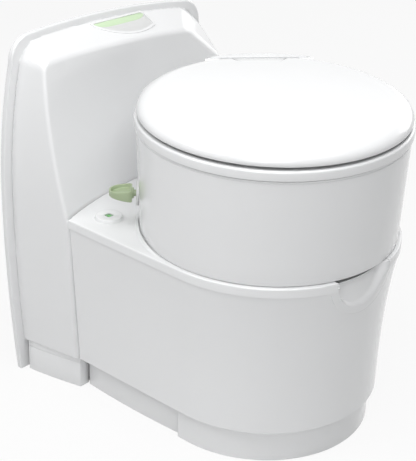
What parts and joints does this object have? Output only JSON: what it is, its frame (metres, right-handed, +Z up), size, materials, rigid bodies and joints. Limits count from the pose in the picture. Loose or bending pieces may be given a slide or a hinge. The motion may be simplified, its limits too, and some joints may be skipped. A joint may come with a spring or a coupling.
{
  "type": "toilet",
  "caption": "bench cassette toilet: swivelling round bowl with hinged seat and lid, wall console with flush control, level window, blade-valve knob and slide-out waste tank on wheels",
  "frame": {"origin": "centre of the bounding box in x and y, at the floor", "axes": "+X from the wall to the round front, +Y to the far side in the picture, +Z up"},
  "size_m": [0.548, 0.46, 0.572],
  "materials": {
    "white_cover": "smooth glossy white moulding",
    "light_grey_plastic": "smooth light grey moulding",
    "green_plastic": "fresh green moulding",
    "knob_green": "soft grey-green moulding",
    "tank_plastic": "blow-moulded pale grey plastic",
    "dark_grey_plastic": "dark grey plastic",
    "seal_rubber": "black rubber",
    "pin_steel": "steel pins",
    "clear_window": "clear window",
    "board_green": "circuit board"
  },
  "bodies": {
    "frame": {"wall_flange": "white_cover", "console_housing": "white_cover", "console_plinth": "white_cover", "bench_plinth": "white_cover", "front_plinth": "white_cover", "base_body": "white_cover", "bench_top": "white_cover", "floor_tray": "light_grey_plastic", "guide_rails": "light_grey_plastic", "indicator_bezel": "white_cover", "indicator_lens": "clear_window", "control_plate": "green_plastic", "water_tank": "tank_plastic", "flush_pump": "dark_grey_plastic", "control_board": "board_green", "button_spring": "pin_steel"},
    "bowl": {"turntable": "white_cover", "retaining_ring": "light_grey_plastic", "bowl_shell": "white_cover", "bowl_liner": "white_cover", "flush_nozzle": "light_grey_plastic", "outlet_seal": "seal_rubber", "hinge_block": "white_cover", "hinge_pins": "pin_steel", "knob_plate": "light_grey_plastic"},
    "seat": {"seat": "white_cover", "seat_buffers": "seal_rubber"},
    "lid": {"lid": "white_cover", "lid_buffers": "seal_rubber"},
    "knob": {"valve_knob": "knob_green"},
    "rod": {"drive_rod": "light_grey_plastic"},
    "opener": {"opener_ring": "light_grey_plastic"},
    "button": {"flush_button": "light_grey_plastic"},
    "flag": {"level_flag": "green_plastic"},
    "tank": {"waste_tank": "tank_plastic", "valve_frame": "light_grey_plastic", "lip_seal": "seal_rubber", "vent_stem_seal": "seal_rubber", "handle_pins": "pin_steel", "wheel_pins": "pin_steel"},
    "blade": {"valve_blade": "dark_grey_plastic"},
    "spout": {"pour_spout": "tank_plastic"},
    "cap": {"spout_cap": "dark_grey_plastic"},
    "vent": {"vent_button": "dark_grey_plastic"},
    "float": {"float_arm": "tank_plastic"},
    "handle": {"grab_handle": "dark_grey_plastic"},
    "near_wheel": {"near_wheel": "dark_grey_plastic"},
    "far_wheel": {"far_wheel": "dark_grey_plastic"}
  },
  "joints": [
    {"name": "bowl_swivel", "type": "hinge", "parent": "frame", "child": "bowl", "pos_m": [0.071, 0, 0.311], "axis": [0, 0, 1], "range_deg": [-47, 133]},
    {"name": "seat_hinge", "type": "hinge", "parent": "bowl", "child": "seat", "pos_m": [-0.05479, 0.1173, 0.5095], "axis": [0.682, 0.7314, 0], "range_deg": [-95, 0]},
    {"name": "lid_hinge", "type": "hinge", "parent": "seat", "child": "lid", "pos_m": [-0.05479, 0.1173, 0.5095], "axis": [-0.682, -0.7314, 0], "range_deg": [0, 96]},
    {"name": "knob_turn", "type": "hinge", "parent": "bowl", "child": "knob", "pos_m": [-0.07527, -0.1364, 0.361], "axis": [-0.7314, -0.682, 0], "range_deg": [0, 90]},
    {"name": "rod_turn", "type": "hinge", "parent": "bowl", "child": "rod", "pos_m": [-0.03322, -0.09718, 0.25], "axis": [0, 0, 1], "range_deg": [-1, 91]},
    {"name": "opener_turn", "type": "hinge", "parent": "bowl", "child": "opener", "pos_m": [0.071, 0, 0.205], "axis": [0, 0, 1], "range_deg": [-19.3, 1]},
    {"name": "blade_slide", "type": "slide", "parent": "tank", "child": "blade", "axis": [-1, 0, 0], "range_m": [0, 0.0911]},
    {"name": "button_press", "type": "slide", "parent": "frame", "child": "button", "axis": [-0.4095, -0.0665, -0.9099], "range_m": [0, 0.002], "stiffness_N_per_m": 400, "springref_m": -0.0005},
    {"name": "tank_slide", "type": "slide", "parent": "frame", "child": "tank", "axis": [-1, 0, 0], "range_m": [0, 0.45]},
    {"name": "near_wheel_roll", "type": "hinge", "parent": "tank", "child": "near_wheel", "pos_m": [0.145, -0.1, 0.0163], "axis": [0, 1, 0], "continuous": true},
    {"name": "far_wheel_roll", "type": "hinge", "parent": "tank", "child": "far_wheel", "pos_m": [0.145, 0.1, 0.0163], "axis": [0, 1, 0], "continuous": true},
    {"name": "spout_swing", "type": "hinge", "parent": "tank", "child": "spout", "pos_m": [-0.22, -0.086, 0.15], "axis": [0, 0, 1], "range_deg": [0, 90]},
    {"name": "cap_pull", "type": "slide", "parent": "spout", "child": "cap", "axis": [0, 1, 0], "range_m": [0, 0.04]},
    {"name": "vent_press", "type": "slide", "parent": "tank", "child": "vent", "axis": [0, 0, -1], "range_m": [0, 0.003], "stiffness_N_per_m": 300, "springref_m": -0.0005},
    {"name": "float_swing", "type": "hinge", "parent": "tank", "child": "float", "pos_m": [-0.04, -0.122, 0.162], "axis": [0, 1, 0], "range_deg": [0, 40]},
    {"name": "flag_turn", "type": "hinge", "parent": "frame", "child": "flag", "pos_m": [-0.11691, -0.151, 0.2954], "axis": [0, 1, 0], "range_deg": [-1, 31]},
    {"name": "handle_swing", "type": "hinge", "parent": "tank", "child": "handle", "pos_m": [-0.252, 0, 0.072], "axis": [0, 1, 0], "range_deg": [0, 90]}
  ],
  "couplings": [
    {"joint": "rod_turn", "follows": "knob_turn", "ratio": 1},
    {"joint": "opener_turn", "follows": "knob_turn", "ratio": -0.20253},
    {"joint": "blade_slide", "follows": "knob_turn", "m_per_rad": 0.057932},
    {"joint": "flag_turn", "follows": "float_swing", "ratio": 0.75}
  ]
}
